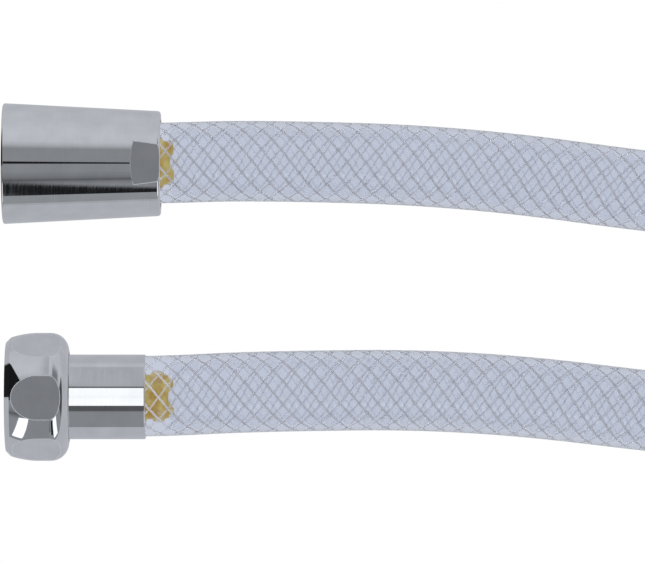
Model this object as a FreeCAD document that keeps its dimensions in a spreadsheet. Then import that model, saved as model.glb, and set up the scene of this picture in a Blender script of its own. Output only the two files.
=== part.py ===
import FreeCAD, Part
import math
import os
import Sketcher
from FreeCAD import Placement, Rotation, Vector
from types import SimpleNamespace

# Clear reinforced spray hose with a conical nut on one end and a hex nut on the other.
# Millimetres, +Z up. The hose lies on the plane Z = 0. Both fittings lie along X with their
# mouths towards -X, and the origin is on that plane, in the middle of the two fittings.

sizes = {
    # G1/2 pipe thread inside both nuts
    "thread_minor_radius": 9.3155,
    "thread_relief_depth": 1.18,
    "mouth_chamfer": 0.8,
    # Conical nut, with walls at its mouth and round the cavity at its thin end
    "cone_length": 31.3,
    "cone_mouth_wall": 2.68,
    "cone_tail_wall": 1.6,
    "cone_seat_depth": 9.4,
    "cone_cavity_clearance": 0.4,
    "cone_mouth_rounding": 0.45,
    "cone_tail_rounding": 0.6,
    "cone_flat_depth": 0.85,
    "cone_flats_length": 5.9,
    "cone_cutter_radius": 9.0,
    # Hex nut, with its wall from the thread's relief to the barrel
    "hex_length": 12.9,
    "hex_barrel_wall": 2.2,
    "hex_facet_depth": 0.8,
    "hex_mouth_land": 0.48,
    "hex_mouth_bevel": 1.2,
    "hex_barrel_start": 6.2,
    "hex_tail_rounding": 3.1,
    "hex_facets": 6,
    # How both nuts hold the insert's collar, with room to float and to spin
    "shoulder_thickness": 1.8,
    "nut_play": 1.0,
    "stop_gap": 0.1,
    "neck_clearance": 0.3,
    # Brass insert, measured from the seat that its washer lies on
    "collar_clearance": 0.17,
    "collar_thickness": 1.8,
    "neck_radius": 5.9,
    "insert_bore_radius": 3.25,
    "barb_root_gap": 0.25,
    "barb_height": 0.7,
    "barb_pitch": 3.3,
    "barb_ramp": 2.9,
    "barb_offset": 1.2,
    "barb_count": 4,
    "tip_land": 1.9,
    "tip_taper": 2.2,
    "tip_wall": 0.65,
    # Rubber washer
    "washer_thickness": 2.0,
    "washer_gap": 0.3,
    "washer_grip": 0.28,
    "washer_hole_radius": 5.6,
    # Crimped ferrule and sleeve
    "ferrule_length": 15.1,
    "ferrule_squeeze": 0.2,
    "ferrule_wall": 0.6,
    "ferrule_front_wall": 0.7,
    "ferrule_rounding": 0.25,
    "ferrule_gap": 0.3,
    # Hose: a liner tube inside a cover tube
    "hose_bore_radius": 5.0,
    "liner_wall": 1.4,
    "cover_wall": 1.6,
    "hose_end_gap": 0.4,
    # Where the fittings lie
    "fitting_spacing": 46.3,
    "hex_setback": 0.6,
    # The hose's put-away length: a hank with its waist at one point
    "waist_from_origin": 267.2,
    "waist_side_shift": -9.0,
    "lane_half_spacing": 24.0,
    "lane_gap": 1.2,
    "fold_radius": 52.0,
    "far_fold_reach": 72.0,
    "near_fold_reach": 80.0,
    "crossing_gap": 1.0,
    "crossing_climb": 6.0,
    "crossing_slope": 0.3,
    # Strap round the waist
    "strap_width": 18.0,
    "strap_thickness": 1.3,
    "strap_gap": 0.5,
    "strap_side_room": 0.7,
    "strap_overlap": 26.0,
}

doc = FreeCAD.newDocument("spray_hose")
sheet = doc.addObject("Spreadsheet::Sheet", "sizes")
for row, (alias, value) in enumerate(sizes.items(), start=1):
    sheet.set(f"A{row}", alias)
    sheet.set(f"B{row}", str(value))
    sheet.setAlias(f"B{row}", alias)
doc.recompute()


class Size:
    """A length with its number and its expression on the sheet, so that both stay together."""

    def __init__(self, number, text):
        self.number = number
        self.text = text

    def __add__(self, other):
        other = as_size(other)
        return Size(self.number + other.number, f"({self.text} + {other.text})")

    def __sub__(self, other):
        other = as_size(other)
        return Size(self.number - other.number, f"({self.text} - {other.text})")

    def __mul__(self, other):
        other = as_size(other)
        return Size(self.number * other.number, f"({self.text} * {other.text})")

    def __truediv__(self, other):
        other = as_size(other)
        return Size(self.number / other.number, f"({self.text} / {other.text})")

    def __neg__(self):
        return Size(-self.number, f"(-{self.text})")


def as_size(value):
    """A plain number as a size."""
    return value if isinstance(value, Size) else Size(value, str(value))


def least(first, second):
    """The smaller of two sizes."""
    return Size(min(first.number, second.number), f"min({first.text}; {second.text})")


given = SimpleNamespace(**{a: Size(float(sheet.get(a)), f"sizes.{a}") for a in sizes})


def sketch_on(body, plane, name):
    """A sketch on one of the body's own origin planes."""
    sketch = body.newObject("Sketcher::SketchObject", name)
    feature = [f for f in body.Origin.OriginFeatures if f.Role == plane][0]
    sketch.AttachmentSupport = [(feature, "")]
    sketch.MapMode = "FlatFace"
    return sketch


def bind(sketch, distance, kind, *elements):
    """Adds one constraint whose value follows the sheet."""
    number = sketch.addConstraint(Sketcher.Constraint(kind, *elements, distance.number))
    sketch.setExpression(f"Constraints[{number}]", distance.text)


def pin(sketch, line, end, along, out):
    """Fixes one corner at two distances from the sketch's origin."""
    for kind, axis, distance in (("DistanceX", -2, along), ("DistanceY", -1, out)):
        if distance is MOUTH:
            sketch.addConstraint(Sketcher.Constraint("PointOnObject", line, end, axis))
        else:
            bind(sketch, distance, kind, -1, 1, line, end)


def closed_outline(sketch, corners, arcs):
    """A closed outline through pinned corners.

    arcs names the stretches that are arcs: the number of the corner that each starts from, and
    its centre's first coordinate. Such an arc runs clockwise, so its sketch ends are swapped.
    """
    count = len(corners)
    places = [Vector(along.number, out.number, 0) for along, out in corners]
    for i in range(count):
        here, there = places[i], places[(i + 1) % count]
        if i not in arcs:
            sketch.addGeometry(Part.LineSegment(here, there), False)
            continue
        middle_x = arcs[i].number
        rise = ((there.x - middle_x) ** 2 + there.y ** 2
                - (here.x - middle_x) ** 2 - here.y ** 2)
        centre = Vector(middle_x, rise / (2 * (there.y - here.y)), 0)
        circle = Part.Circle(centre, Vector(0, 0, 1), (here - centre).Length)
        ends = [math.atan2(p.y - centre.y, p.x - centre.x) for p in (there, here)]
        sketch.addGeometry(Part.ArcOfCircle(circle, *ends), False)
    starts = [2 if i in arcs else 1 for i in range(count)]
    for i in range(count):
        after = (i + 1) % count
        joint = Sketcher.Constraint("Coincident", i, 3 - starts[i], after, starts[after])
        sketch.addConstraint(joint)
    for i, (along, out) in enumerate(corners):
        pin(sketch, i, starts[i], along, out)
    for i, middle_x in arcs.items():
        bind(sketch, middle_x, "DistanceX", -1, 1, i, 3)


def centred_rectangle(sketch, width, low, high):
    """A rectangle that the sketch's vertical axis halves, between two heights."""
    half = width.number / 2
    corners = [Vector(-half, low.number, 0), Vector(half, low.number, 0),
               Vector(half, high.number, 0), Vector(-half, high.number, 0)]
    for i in range(4):
        sketch.addGeometry(Part.LineSegment(corners[i], corners[(i + 1) % 4]), False)
    for i in range(4):
        sketch.addConstraint(Sketcher.Constraint("Coincident", i, 2, (i + 1) % 4, 1))
    for constraint in (("Horizontal", 2), ("Vertical", 1), ("Vertical", 3),
                       ("Symmetric", 0, 1, 0, 2, -2)):
        sketch.addConstraint(Sketcher.Constraint(*constraint))
    bind(sketch, width, "DistanceX", 0, 1, 0, 2)
    bind(sketch, low, "DistanceY", -1, 1, 0, 1)
    bind(sketch, high, "DistanceY", -1, 1, 2, 1)


def place(body, along, across, up):
    """Ties the body's place to the sheet."""
    for axis, distance in (("x", along), ("y", across), ("z", up)):
        body.setExpression(f"Placement.Base.{axis}", distance.text)


def turned(label, corners, arcs=()):
    """A body turned about X from a ring's section, with corners as (along X, radius)."""
    body = doc.addObject("PartDesign::Body", label)
    section = sketch_on(body, "XZ_Plane", f"{label}_section")
    closed_outline(section, corners, dict(arcs))
    revolution = body.newObject("PartDesign::Revolution", f"{label}_turned")
    revolution.Profile = section
    revolution.ReferenceAxis = (section, ["H_Axis"])
    revolution.Angle = 360
    doc.recompute()
    return body


def round_rim(body, along, radius, rounding):
    """Rounds the rim at one place and radius."""
    base = body.Tip
    names = []
    for number, edge in enumerate(base.Shape.Edges, start=1):
        if isinstance(edge.Curve, Part.Circle):
            off_place = abs(edge.Curve.Center.x - along.number)
            if max(off_place, abs(edge.Curve.Radius - radius.number)) < 1e-4:
                names.append(f"Edge{number}")
    fillet = body.newObject("PartDesign::Fillet", f"{base.Name}_rounded")
    fillet.Base = (base, names)
    fillet.setExpression("Radius", rounding.text)
    doc.recompute()


def cut_round_axis(body, outline, count):
    """Cuts an outline away from its plane outwards, and repeats the cut round the body's X axis."""
    whole = body.Tip.Shape.Volume
    pocket = body.newObject("PartDesign::Pocket", f"{outline.Name}_cut")
    pocket.Profile = outline
    pocket.Type = "ThroughAll"
    pocket.Reversed = True
    doc.recompute()
    pattern = body.newObject("PartDesign::PolarPattern", f"{outline.Name}_pattern")
    pattern.Originals = [pocket]
    axis = [f for f in body.Origin.OriginFeatures if f.Role == "X_Axis"][0]
    pattern.Axis = (axis, [""])
    pattern.Angle = 360
    pattern.setExpression("Occurrences", as_size(count).text)
    body.Tip = pattern
    doc.recompute()
    if not whole - 0.1 > pocket.Shape.Volume > pattern.Shape.Volume + 0.1:
        raise RuntimeError(f"{body.Label}: {outline.Name} cuts nothing away")


# Radii, from the hose and the thread outwards

liner_radius = given.hose_bore_radius + given.liner_wall
hose_radius = liner_radius + given.cover_wall
ferrule_inside = hose_radius - given.ferrule_squeeze
ferrule_radius = ferrule_inside + given.ferrule_wall
barb_root_radius = given.hose_bore_radius - given.barb_root_gap
relief_radius = given.thread_minor_radius + given.thread_relief_depth
collar_radius = given.thread_minor_radius - given.collar_clearance
washer_radius = given.thread_minor_radius + given.washer_grip
cone_mouth_radius = given.thread_minor_radius + given.cone_mouth_wall
cone_cavity_radius = ferrule_radius + given.cone_cavity_clearance
cone_tail_radius = cone_cavity_radius + given.cone_tail_wall
cone_flat_from_axis = cone_tail_radius - given.cone_flat_depth
hex_barrel_radius = relief_radius + given.hex_barrel_wall
hex_facet_from_axis = hex_barrel_radius - given.hex_facet_depth
hex_mouth_radius = given.thread_minor_radius + given.mouth_chamfer + given.hex_mouth_land

# Places along a nut from its mouth, and along an insert from the seat of its washer

MOUTH = Size(0.0, "0")
shoulder_from_seat = given.collar_thickness + given.nut_play + given.stop_gap
ferrule_from_seat = shoulder_from_seat + given.shoulder_thickness + given.ferrule_gap
tail_from_seat = ferrule_from_seat + given.ferrule_front_wall
barbs_end = tail_from_seat + given.barb_offset + given.barb_pitch * given.barb_count
insert_length = barbs_end + given.tip_land + given.tip_taper
hex_seat_depth = given.hex_length - given.shoulder_thickness - shoulder_from_seat

# Where the fittings lie

cone_mouth_x = -(given.cone_seat_depth + insert_length) / 2
cone_axis_y = (given.fitting_spacing + hex_barrel_radius - cone_mouth_radius) / 2
cone_axis_z = cone_mouth_radius
hex_mouth_x = cone_mouth_x + given.hex_setback
hex_axis_y = cone_axis_y - given.fitting_spacing
hex_axis_z = hex_facet_from_axis
cone_seat = (cone_mouth_x + given.cone_seat_depth, cone_axis_y, cone_axis_z)
hex_seat = (hex_mouth_x + hex_seat_depth, hex_axis_y, hex_axis_z)


def nut_bore(seat_depth):
    """The inside of a nut from its shoulder's back to its mouth: hole, relief and thread."""
    shoulder = seat_depth + shoulder_from_seat
    thread_end = seat_depth - given.washer_thickness - given.stop_gap - given.washer_gap
    hole = given.neck_radius + given.neck_clearance
    return [
        (shoulder + given.shoulder_thickness, hole),
        (shoulder, hole),
        (shoulder, relief_radius),
        (thread_end, relief_radius),
        (thread_end, given.thread_minor_radius),
        (given.mouth_chamfer, given.thread_minor_radius),
        (MOUTH, given.thread_minor_radius + given.mouth_chamfer),
    ]


def make_conical_nut():
    """Conical nut: the cone hides the sleeve, and two flats at its thin end take a spanner."""
    bore = nut_bore(given.cone_seat_depth)
    outside = [
        (MOUTH, cone_mouth_radius),
        (given.cone_length, cone_tail_radius),
        (given.cone_length, cone_cavity_radius),
        (bore[0][0], cone_cavity_radius),
    ]
    body = turned("conical_nut", outside + bore)
    round_rim(body, MOUTH, cone_mouth_radius, given.cone_mouth_rounding)
    round_rim(body, given.cone_length, cone_tail_radius,
              least(given.cone_tail_rounding, given.cone_tail_wall / 2))

    # A round cutter plunged in from the side leaves each flat with a curved end
    outline = sketch_on(body, "XY_Plane", "cone_flat")
    outline.setExpression("AttachmentOffset.Base.z", cone_flat_from_axis.text)
    cutter = given.cone_cutter_radius
    centre_x = given.cone_length - given.cone_flats_length + cutter
    end_x = given.cone_length + cone_mouth_radius
    width = least(cone_mouth_radius, cutter) * 1.6
    half = math.asin(width.number / cutter.number / 2)
    centre = Vector(centre_x.number, 0, 0)
    upper = centre + Vector(-math.cos(half), math.sin(half), 0) * cutter.number
    lower = Vector(upper.x, -upper.y, 0)
    far_upper, far_lower = Vector(end_x.number, upper.y, 0), Vector(end_x.number, lower.y, 0)
    circle = Part.Circle(centre, Vector(0, 0, 1), cutter.number)
    outline.addGeometry(Part.ArcOfCircle(circle, math.pi - half, math.pi + half), False)
    for start, end in ((lower, far_lower), (far_lower, far_upper), (far_upper, upper)):
        outline.addGeometry(Part.LineSegment(start, end), False)
    for i in range(4):
        outline.addConstraint(Sketcher.Constraint("Coincident", i, 2, (i + 1) % 4, 1))
    for constraint in (("Horizontal", 1), ("Horizontal", 3), ("PointOnObject", 0, 3, -1),
                       ("Symmetric", 2, 1, 2, 2, -1)):
        outline.addConstraint(Sketcher.Constraint(*constraint))
    bind(outline, cutter, "Radius", 0)
    bind(outline, centre_x, "DistanceX", -1, 1, 0, 3)
    bind(outline, end_x, "DistanceX", -1, 1, 2, 1)
    bind(outline, width, "DistanceY", 2, 1, 2, 2)
    cut_round_axis(body, outline, 2)
    place(body, cone_mouth_x, cone_axis_y, cone_axis_z)


def make_hex_nut():
    """Hex nut: turned to a barrel first, so each milled facet ends in a curve."""
    outside = [
        (MOUTH, hex_mouth_radius),
        (given.hex_mouth_bevel, hex_mouth_radius + given.hex_mouth_bevel),
        (given.hex_barrel_start, hex_barrel_radius),
        (given.hex_length, hex_barrel_radius),
    ]
    # The barrel's front is an arc that meets its cylinder without a corner
    body = turned("hex_nut", outside + nut_bore(hex_seat_depth), {1: given.hex_barrel_start})
    round_rim(body, given.hex_length, hex_barrel_radius, given.hex_tail_rounding)
    outline = sketch_on(body, "YZ_Plane", "hex_facet")
    flat = hex_facet_from_axis
    centred_rectangle(outline, hex_barrel_radius * 2, flat, flat + hex_barrel_radius)
    cut_round_axis(body, outline, given.hex_facets)
    place(body, hex_mouth_x, hex_axis_y, hex_axis_z)


def make_insert(label, seat):
    """Brass insert: collar for the washer, neck that the nut turns on, and a barbed tail."""
    root = barb_root_radius
    corners = [
        (MOUTH, given.insert_bore_radius),
        (MOUTH, collar_radius),
        (given.collar_thickness, collar_radius),
        (given.collar_thickness, given.neck_radius),
        (tail_from_seat, given.neck_radius),
        (tail_from_seat, root),
    ]
    for barb in range(int(sizes["barb_count"])):
        step = tail_from_seat + given.barb_offset + given.barb_pitch * barb
        corners.append((step, root))
        corners.append((step, root + given.barb_height))
        corners.append((step + given.barb_ramp, root))
    corners += [
        (insert_length - given.tip_taper, root),
        (insert_length, given.insert_bore_radius + given.tip_wall),
        (insert_length, given.insert_bore_radius),
    ]
    place(turned(label, corners), *seat)


def make_ferrule(label, seat):
    """Crimped tube round the hose, with a front wall that grips the insert's neck."""
    corners = [
        (MOUTH, given.neck_radius),
        (MOUTH, ferrule_radius),
        (given.ferrule_length, ferrule_radius),
        (given.ferrule_length, ferrule_inside),
        (given.ferrule_front_wall, ferrule_inside),
        (given.ferrule_front_wall, given.neck_radius),
    ]
    body = turned(label, corners)
    rounding = least(given.ferrule_rounding, given.ferrule_wall / 2)
    for along in (MOUTH, given.ferrule_length):
        round_rim(body, along, ferrule_radius, rounding)
    place(body, seat[0] + ferrule_from_seat, *seat[1:])


def make_washer(label, seat):
    """Flat rubber washer, held in the nut behind its thread."""
    corners = [
        (MOUTH, given.washer_hole_radius),
        (MOUTH, washer_radius),
        (given.washer_thickness, washer_radius),
        (given.washer_thickness, given.washer_hole_radius),
    ]
    place(turned(label, corners), seat[0] - given.stop_gap - given.washer_thickness, *seat[1:])


def rounded_route(points):
    """Straight runs joined by tangent arcs, with the arcs' radii."""
    edges, radii = [], []
    here = points[0]
    for before, corner, after in zip(points, points[1:], points[2:]):
        back, ahead = before - corner, after - corner
        turn = math.pi - back.getAngle(ahead)
        tangent = 0.45 * min(back.Length, ahead.Length)
        radius = tangent / math.tan(turn / 2)
        back.normalize()
        ahead.normalize()
        first, last = corner + back * tangent, corner + ahead * tangent
        inwards = back + ahead
        inwards.normalize()
        middle = corner + inwards * (radius / math.cos(turn / 2) - radius)
        edges.append(Part.LineSegment(here, first).toShape())
        edges.append(Part.Arc(first, middle, last).toShape())
        radii.append(radius)
        here = last
    edges.append(Part.LineSegment(here, points[-1]).toShape())
    return Part.Wire(edges), radii


def biarc(start, heading, end, end_heading):
    """Two arcs that join two places along two unit headings, each as three points."""
    chord = end - start
    both = heading + end_heading
    spread = 2 * (1 - heading.dot(end_heading))
    along = chord.dot(both)
    if spread < 1e-9:
        reach = chord.dot(chord) / (4 * chord.dot(end_heading))
    else:
        reach = (math.sqrt(along ** 2 + spread * chord.dot(chord)) - along) / spread
    joint = (start + end + (heading - end_heading) * reach) / 2
    arcs = []
    for first, last, control in ((start, joint, start + heading * reach),
                                 (joint, end, end - end_heading * reach)):
        chord_middle = (first + last) / 2
        sagitta_way = control - chord_middle
        half = (last - first).Length / 2
        if sagitta_way.Length < 1e-6:
            arcs.append(Part.LineSegment(first, last))
            continue
        leg = (control - first).Length
        height = half * math.tan(math.acos(min(1, half / leg)) / 2)
        sagitta_way.normalize()
        arcs.append(Part.Arc(first, chord_middle + sagitta_way * height, last))
    return arcs


def pipe(path, start, heading, radius):
    """A round solid along a path, checked against its section times its length."""
    circle = Part.Wire(Part.Circle(start, heading, radius).toShape())
    solid = path.makePipeShell([circle], True, False)
    expected = math.pi * radius ** 2 * path.Length
    if abs(solid.Volume / expected - 1) > 0.005:
        raise RuntimeError(f"tube volume {solid.Volume:.0f}, expected {expected:.0f}")
    return solid


def hose_layer(label, path, start, heading, outer, inner=None):
    """One tube of the hose along its path, or a solid stretch of it."""
    feature = doc.addObject("Part::Feature", label)
    solid = pipe(path, start, heading, outer.number)
    if inner:
        solid = solid.cut(pipe(path, start, heading, inner.number))
    feature.Shape = solid
    feature.Placement = Placement(Vector(0, 0, 0), Rotation())


# The hose's axis rests this high on the strap, and the strap's own middle is as high
waist_height = given.strap_thickness + given.strap_gap + hose_radius


def hank_stations():
    """Places and headings along the hank, from the conical nut's lane to the hex nut's.

    The hose runs through the waist, round the far fold, back through the waist, round the near
    fold over both runs, through the waist again and round the far fold once more. There its
    second pass crosses its first, one layer up.
    """
    waist, middle = given.waist_from_origin.number, given.waist_side_shift.number
    diameter = 2 * hose_radius.number
    lane, pitch = given.lane_half_spacing.number, diameter + given.lane_gap.number
    fold, reach = given.fold_radius.number, given.far_fold_reach.number
    near = given.near_fold_reach.number
    floor = hose_radius.number
    raised = floor + diameter + given.crossing_gap.number
    climbed = floor + given.crossing_climb.number
    low = waist_height.number
    slope = given.crossing_slope.number
    inner = fold - pitch / 2
    swing = 2 * math.atan2(inner - lane, reach)

    def station(x, y, z, heading_x, heading_y, climb=0.0):
        heading = Vector(heading_x, heading_y, climb)
        heading.normalize()
        return Vector(waist + x, middle + y, z), heading

    def shoulder(row, side, way, z):
        """Where a lane is half way out from the waist to the far fold."""
        x = reach / 2 - row * pitch * math.sin(swing)
        y = (inner + lane) / 2 + row * pitch * math.cos(swing)
        return station(x, side * y, z, way * math.cos(swing), way * side * math.sin(swing))

    return [
        station(0, lane, low, 1, 0),
        shoulder(0, 1, 1, (low + floor) / 2),
        station(reach, inner, floor, 1, 0),
        station(reach + fold, -pitch / 2, floor, 0, -1),
        station(reach, -inner - pitch, floor, -1, 0),
        shoulder(1, -1, -1, (low + floor) / 2),
        station(0, -lane - pitch, low, -1, 0),
        station(-near, -fold, raised, -1, 0),
        station(-near - fold, 0, raised, 0, 1),
        station(-near, fold, raised, 1, 0),
        station(0, lane + pitch, low, 1, 0),
        shoulder(1, 1, 1, low),
        station(reach, inner + pitch, climbed, 1, 0, slope),
        station(reach + fold, pitch / 2, raised, 0, -1),
        station(reach, -inner, climbed, -1, 0, -slope),
        shoulder(0, -1, -1, low),
        station(0, -lane, low, -1, 0),
    ]


def least_gap(path, diameter):
    """Least gap between stretches of one tube that are well apart along it."""
    step = 4.0
    points = path.discretize(Distance=step)
    skip = int(4 * diameter / step)
    least = min((a - b).Length for i, a in enumerate(points) for b in points[i + skip:])
    return least - diameter


def make_hose():
    """The hose: two free runs from the fittings, and the hank between them."""
    into_ferrule = (tail_from_seat + given.hose_end_gap).number
    stations = hank_stations()
    hose_start, hose_end = (
        Vector(seat[0].number + into_ferrule, seat[1].number, seat[2].number)
        for seat in (cone_seat, hex_seat))
    first, last = stations[0][0], stations[-1][0]
    lead_in = Vector(-43, 0, 0)
    routes = {
        "cone": [
            hose_start,
            Vector(33, 24.2, 12.0),
            Vector(75, 23.0, 9.4),
            Vector(121, 16.6, 8.0),
            Vector(172, 13.2, 8.0),
            first + lead_in,
            first,
        ],
        "hex": [
            hose_end,
            Vector(33, -21.7, 11.9),
            Vector(75, -21.3, 9.4),
            Vector(121, -26.8, 8.0),
            Vector(172, -32.4, 8.0),
            last + lead_in,
            last,
        ],
    }
    total = 0.0
    for end, points in routes.items():
        path, radii = rounded_route(points)
        total += path.Length
        print(f"{end} run: {path.Length:.1f} mm, radii", [round(r) for r in radii])
        heading = points[1] - points[0]
        hose_layer(f"{end}_run_cover", path, points[0], heading, hose_radius, liner_radius)
        hose_layer(f"{end}_run_liner", path, points[0], heading,
                   liner_radius, given.hose_bore_radius)

    edges = []
    for (start, heading), (end, end_heading) in zip(stations, stations[1:]):
        edges += [curve.toShape() for curve in biarc(start, heading, end, end_heading)]
    radii = [e.Curve.Radius for e in edges if isinstance(e.Curve, Part.Circle)]
    path = Part.Wire(edges)
    total += path.Length
    hose_layer("hose_hank", path, first, stations[0][1], hose_radius)
    print(f"hank: {path.Length:.1f} mm, radii", [round(r) for r in radii])
    print(f"hank's least gap to itself: {least_gap(path, 2 * hose_radius.number):.2f} mm")
    print(f"hose in all: {total:.0f} mm")


def make_tie():
    """Strap round the hank's waist, with its end lapped over on top."""
    body = doc.addObject("PartDesign::Body", "hose_tie")
    ring = sketch_on(body, "YZ_Plane", "strap_section")
    reach = given.lane_half_spacing + hose_radius * 2 + given.lane_gap + given.strap_side_room
    inside = hose_radius + given.strap_gap
    outside = inside + given.strap_thickness
    quarter = math.pi / 2
    right, left = Vector(reach.number, 0, 0), Vector(-reach.number, 0, 0)
    for first, radius in ((0, inside), (4, outside)):
        up = Vector(0, radius.number, 0)
        right_end = Part.Circle(right, Vector(0, 0, 1), radius.number)
        left_end = Part.Circle(left, Vector(0, 0, 1), radius.number)
        ring.addGeometry(Part.ArcOfCircle(right_end, -quarter, quarter), False)
        ring.addGeometry(Part.LineSegment(right + up, left + up), False)
        ring.addGeometry(Part.ArcOfCircle(left_end, quarter, 3 * quarter), False)
        ring.addGeometry(Part.LineSegment(left - up, right - up), False)
        for i in range(4):
            tangent = Sketcher.Constraint("Tangent", first + i, 2, first + (i + 1) % 4, 1)
            ring.addConstraint(tangent)
        ring.addConstraint(Sketcher.Constraint("PointOnObject", first, 3, -1))
        ring.addConstraint(Sketcher.Constraint("Symmetric", first, 3, first + 2, 3, -2))
        bind(ring, reach, "DistanceX", -1, 1, first, 3)
        bind(ring, radius, "Radius", first)
    band = body.newObject("PartDesign::Pad", "strap_band")
    band.Profile = ring
    band.setExpression("Length", given.strap_width.text)
    band.Midplane = True
    doc.recompute()

    lap = body.newObject("PartDesign::AdditiveBox", "strap_lap")
    lap.setExpression("Length", given.strap_width.text)
    lap.setExpression("Width", given.strap_overlap.text)
    lap.setExpression("Height", given.strap_thickness.text)
    lap.setExpression("Placement.Base.x", (-given.strap_width / 2).text)
    lap.setExpression("Placement.Base.y", (-given.strap_overlap / 2).text)
    lap.setExpression("Placement.Base.z", outside.text)
    doc.recompute()
    place(body, given.waist_from_origin, given.waist_side_shift, waist_height)


def check_and_write():
    """Stops on a failed object or shape, then writes one file for each piece."""
    doc.recompute()
    for item in doc.Objects:
        bad = [s for s in item.State if s in ("Invalid", "Error")]
        if bad:
            raise RuntimeError(f"{item.Label}: {bad}")
    os.makedirs("parts", exist_ok=True)
    pieces = [o for o in doc.Objects if o.TypeId in ("PartDesign::Body", "Part::Feature")]
    for piece in pieces:
        shape = piece.Shape
        if shape.isNull() or not shape.isValid() or len(shape.Solids) != 1:
            raise RuntimeError(f"{piece.Label}: its shape is not one valid solid")
        shape.exportStep(f"parts/{piece.Label}.step")
        print(f"{piece.Label}: {shape.Volume / 1000:.2f} cm3")


make_conical_nut()
make_hex_nut()
make_insert("cone_end_insert", cone_seat)
make_insert("hex_end_insert", hex_seat)
make_ferrule("cone_end_sleeve", cone_seat)
make_ferrule("hex_end_ferrule", hex_seat)
make_washer("cone_end_washer", cone_seat)
make_washer("hex_end_washer", hex_seat)
make_hose()
make_tie()
check_and_write()
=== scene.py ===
import math

import bpy
import numpy as np
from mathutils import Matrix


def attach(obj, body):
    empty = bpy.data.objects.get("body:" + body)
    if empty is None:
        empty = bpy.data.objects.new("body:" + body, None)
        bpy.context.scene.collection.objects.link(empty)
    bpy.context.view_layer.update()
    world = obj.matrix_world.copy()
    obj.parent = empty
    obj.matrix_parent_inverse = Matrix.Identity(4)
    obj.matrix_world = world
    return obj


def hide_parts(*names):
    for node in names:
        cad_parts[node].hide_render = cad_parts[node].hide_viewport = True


# Clear reinforced spray hose with a conical nut and a hex nut, in metres.
# The hose lies on the floor, its axis mostly along X, and the camera looks straight down.

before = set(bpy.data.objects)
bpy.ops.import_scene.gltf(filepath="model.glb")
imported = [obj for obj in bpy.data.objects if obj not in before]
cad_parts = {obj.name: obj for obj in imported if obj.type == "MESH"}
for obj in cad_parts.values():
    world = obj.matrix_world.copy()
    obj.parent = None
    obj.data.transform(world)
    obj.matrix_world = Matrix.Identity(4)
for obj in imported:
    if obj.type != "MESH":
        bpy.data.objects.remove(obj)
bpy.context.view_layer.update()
print("frame loaded:", len(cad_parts), "nodes")


# Steps that many pieces share

alongX = (0, math.pi / 2, 0)  # turns a new shape's axis onto X


def newPiece(name, add, **options):
    add(**options)
    piece = bpy.context.object
    piece.name = name
    return piece


def pick(piece):
    bpy.ops.object.select_all(action="DESELECT")
    piece.select_set(True)
    bpy.context.view_layer.objects.active = piece


def startEdit():
    bpy.ops.object.mode_set(mode="EDIT")


def editAll():
    startEdit()
    bpy.ops.mesh.select_all(action="SELECT")


def endEdit():
    bpy.ops.object.mode_set(mode="OBJECT")


def faceOutwards():
    # every face of the closed shape turned out, and out of edit mode
    bpy.ops.mesh.select_all(action="SELECT")
    bpy.ops.mesh.normals_make_consistent(inside=False)
    endEdit()


def selectParts(piece, kind, findParts):
    # ends in edit mode, with only those edges or faces selected
    pick(piece)
    startEdit()
    bpy.ops.mesh.select_mode(type=kind)
    bpy.ops.mesh.select_all(action="DESELECT")
    endEdit()
    for part in findParts(piece.data):
        part.select = True
    startEdit()


def applyPlace():
    bpy.ops.object.transform_apply(location=True, rotation=True, scale=True)


def joinPieces(piece, *others):
    pick(piece)
    for other in others:
        other.select_set(True)
    bpy.ops.object.join()
    return piece


def copyPiece(piece, name, move):
    twin = piece.copy()
    twin.data = piece.data.copy()
    twin.name = twin.data.name = name
    bpy.context.collection.objects.link(twin)
    pick(twin)
    bpy.ops.transform.translate(value=move)
    applyPlace()
    return twin


# Camera: straight above, with the photograph's frame round the two fittings

photo = {
    "pixelsWide": 645,
    "metresPerPixel": 0.0001985,
    "centre": (0.0466, 0.0001),
    "hoseHeight": 0.012,
    "distance": 1.4,
    "sensorWidth": 36,
    "clip": (0.05, 20),
}


def makeCamera():
    centreX, centreY = photo["centre"]
    height = photo["hoseHeight"] + photo["distance"]
    camera = newPiece("photoCamera", bpy.ops.object.camera_add, rotation=(0, 0, 0),
                      location=(centreX, centreY, height))
    seenWidth = photo["pixelsWide"] * photo["metresPerPixel"]
    camera.data.sensor_width = photo["sensorWidth"]
    camera.data.lens = photo["sensorWidth"] * photo["distance"] / seenWidth
    camera.data.clip_start, camera.data.clip_end = photo["clip"]
    bpy.context.scene.camera = camera


# Hose: one line from the conical nut, through the hank, back to the hex nut

hose = {
    "radius": 0.008,
    "bore": 0.005,
    "length": 1.5,
    "sides": 40,
    "lineOrder": 3,
    "pointsPerSpan": 14,
    "coneRun": [(-0.0013, 0.0235, 0.012), (0.013, 0.0235, 0.012), (0.033, 0.0242, 0.012),
                (0.075, 0.0230, 0.0094), (0.121, 0.0166, 0.008), (0.172, 0.0132, 0.008),
                (0.2242, 0.015, 0.0098)],
    "hexRun": [(-0.0019, -0.0228, 0.0119), (0.013, -0.0228, 0.0119), (0.033, -0.0217, 0.0119),
               (0.075, -0.0213, 0.0094), (0.121, -0.0268, 0.008), (0.172, -0.0324, 0.008),
               (0.2242, -0.033, 0.0098)],
}

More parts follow.
